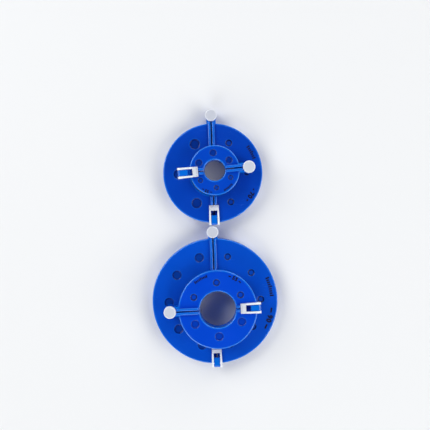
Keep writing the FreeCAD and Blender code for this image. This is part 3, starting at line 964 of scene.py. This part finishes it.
@dataclass
class Studio:
    """A plain pale floor, soft lamps at a plain level, and the camera straight above."""

    camera_place: Vector = field(default_factory=lambda: Vector((0.0, 17.13, 445.8)) * MM)
    camera_field: float = 309.35 * MM
    camera_level: float = FACE_HEIGHT
    floor_half: float = 3.0
    floor_drop: float = 0.05 * MM
    floor_roughness: float = 0.9
    floor_gloss: float = 0.1
    floor_colour: Colour = (0.86, 0.87, 0.88)
    backdrop: Colour = (0.95, 0.97, 1.0)
    backdrop_from: float = 0.30
    backdrop_to: float = 0.80
    sky: Colour = (0.93, 0.96, 1.0)
    sky_strength: float = 0.20
    overhead_strength: float = 0.04
    overhead_from: float = 0.72
    overhead_to: float = 0.92

    def build(self) -> None:
        """Make the floor, the world, the lamps and the camera, and set the view transform."""
        self.floor()
        self.world()
        for lamp in LAMPS:
            lamp.build()
        self.camera()
        bpy.context.scene.view_settings.view_transform = "Standard"

    def floor(self) -> None:
        """A square of pale matt board, a hair below the makers.

        Far out, where the lamps no longer reach, it is seen to fade into the backdrop.
        """
        corners = [(x * self.floor_half, y * self.floor_half, -self.floor_drop)
                   for x, y in ((-1, -1), (1, -1), (1, 1), (-1, 1))]
        mesh = bpy.data.meshes.new("floor")
        mesh.from_pydata(corners, [], [(0, 1, 2, 3)])
        material, graph, shader = new_material("pale_board")
        shader.inputs["Base Color"].default_value = rgba(self.floor_colour)
        shader.inputs["Roughness"].default_value = self.floor_roughness
        shader.inputs["Specular IOR Level"].default_value = self.floor_gloss
        distance = graph.node("VectorMath", operation="LENGTH")
        graph.join(graph.node("TexCoord").outputs["Object"], distance.inputs[0])
        far = graph.fade(distance.outputs["Value"], self.backdrop_from, self.backdrop_to)
        pale = graph.node("Emission")
        pale.inputs["Color"].default_value = rgba(self.backdrop)
        seen = graph.math("MULTIPLY", far, self.background_rays(graph))
        self.blend(graph, (shader, pale), seen, "Material Output")
        mesh.materials.append(material)
        board = bpy.data.objects.new("floor", mesh)
        bpy.context.scene.collection.objects.link(board)

    @staticmethod
    def blend(graph: Graph, shaders: tuple[bpy.types.Node, bpy.types.Node], factor: bpy.types.NodeSocket,
              output: str) -> None:
        """Mix two shaders into an output.

        Args:
            graph: the graph of the floor's material or of the world.
            shaders: the shader nodes where the factor is 0 and where it is 1.
            factor: the factor.
            output: the name of the output node.
        """
        mixed = graph.node("MixShader")
        graph.join(factor, mixed.inputs[0])
        for shader, place in zip(shaders, (1, 2)):
            graph.join(shader.outputs[0], mixed.inputs[place])
        graph.join(mixed.outputs["Shader"], graph.tree.nodes[output].inputs["Surface"])

    @staticmethod
    def background_rays(graph: Graph) -> bpy.types.NodeSocket:
        """Find the rays that show the backdrop: the camera's, and those off gloss and through glass.

        Args:
            graph: the graph of the floor's material or of the world.

        Returns:
            A mask that is 1 for those rays.
        """
        rays = graph.node("LightPath").outputs
        seen = graph.math("MAXIMUM", rays["Is Camera Ray"], rays["Is Glossy Ray"])
        return graph.math("MAXIMUM", seen, rays["Is Transmission Ray"])

    def world(self) -> None:
        """A dim sky that is seen as the pale backdrop; both are dark straight overhead."""
        world = bpy.data.worlds.new("studio")
        world.use_nodes = True
        graph = Graph(world.node_tree)
        light = world.node_tree.nodes["Background"]
        light.inputs["Color"].default_value = rgba(self.sky)
        _, _, height = graph.split(graph.node("TexCoord").outputs["Generated"])
        shade = graph.fade(height, self.overhead_from, self.overhead_to)
        seen = graph.node("Background")
        seen.inputs["Color"].default_value = rgba(self.backdrop)
        for background, level in ((light, self.sky_strength), (seen, 1.0)):
            strength = graph.math("MULTIPLY_ADD", shade, self.overhead_strength - level, level)
            graph.join(strength, background.inputs["Strength"])
        self.blend(graph, (light, seen), self.background_rays(graph), "World Output")
        bpy.context.scene.world = world

    def camera(self) -> None:
        """A camera straight above, wide enough for its field at the level of the lower faces."""
        camera = bpy.data.cameras.new("camera")
        camera.lens = camera.sensor_width * (self.camera_place.z - self.camera_level) / self.camera_field
        eye = bpy.data.objects.new("camera", camera)
        eye.location = self.camera_place
        bpy.context.scene.collection.objects.link(eye)
        bpy.context.scene.camera = eye


LAMPS = (
    Softbox("key", place=(-0.80, 0.45, 0.85), size=0.8, power=8.15),
    Softbox("fill", place=(0.90, -0.35, 0.80), size=0.9, power=7.65),
    Softbox("top_fill", place=(0.45, 0.95, 0.75), size=0.8, power=4.8),
    Softbox("low_fill", place=(-0.35, -1.00, 0.75), size=0.8, power=6.25),
)
MAKERS = (
    Maker(key="90", rim=45.0 * MM, hole=20.0 * MM, face=(0.0, 0.078, 0.60),
          dimple_circle=33.0 * MM, dimple_count=5, large_dimple=6.7 * MM, small_dimple=4.9 * MM,
          large_floor_shade=0.58, print_radius=41.0 * MM, scale_angle=12.6, scale_length=14.5 * MM,
          number_angle=-20.0, number_length=16.0 * MM, cap_height=3.1 * MM),
    Maker(key="70", rim=35.8 * MM, hole=16.0 * MM, face=(0.0, 0.056, 0.50),
          dimple_circle=24.5 * MM, dimple_count=3, large_dimple=7.4 * MM, small_dimple=4.9 * MM,
          large_floor_shade=0.58, print_radius=31.6 * MM, scale_angle=26.5, scale_length=10.7 * MM,
          number_angle=-32.0, number_length=10.5 * MM, cap_height=2.7 * MM),
    Maker(key="55", rim=27.5 * MM, hole=12.7 * MM, face=(0.0, 0.062, 0.64),
          dimple_circle=18.8 * MM, dimple_count=3, large_dimple=6.1 * MM, small_dimple=4.9 * MM,
          large_floor_shade=0.74, print_radius=24.6 * MM, scale_angle=26.4, scale_length=10.2 * MM,
          number_angle=-32.0, number_length=10.0 * MM, cap_height=2.2 * MM),
    Maker(key="35", rim=17.5 * MM, hole=7.3 * MM, face=(0.0, 0.059, 0.55),
          dimple_circle=12.2 * MM, dimple_count=3, large_dimple=5.1 * MM, small_dimple=3.7 * MM,
          large_floor_shade=0.62, print_radius=15.5 * MM, scale_angle=32.9, scale_length=7.3 * MM,
          number_angle=-26.0, number_length=7.5 * MM, cap_height=1.7 * MM),
)
WHITES = {
    WhitePiece.HEAD: WhitePlastic(body=(0.62, 0.65, 0.73), shade=(0.57, 0.60, 0.68),
                                  highlight_and_thin_ink=(0.84, 0.87, 0.92)),
    WhitePiece.LATCH: WhitePlastic(body=(0.69, 0.72, 0.80), shade=(0.64, 0.67, 0.75),
                                   highlight_and_thin_ink=(0.86, 0.89, 0.94)),
}
INK = PrintInk(ink=(0.0005, 0.001, 0.006), highlight_and_thin_ink=(0.001, 0.003, 0.016))


def main() -> None:
    """Build the studio, then the makers in order."""
    logging.basicConfig(level=logging.INFO, format="%(name)s: %(message)s")
    Studio().build()
    effects = Effects()
    for maker in MAKERS:
        maker.build(effects, WHITES, INK)
        LOG.info("maker %s is dressed", maker.key)


if __name__ == "__main__":
    main()
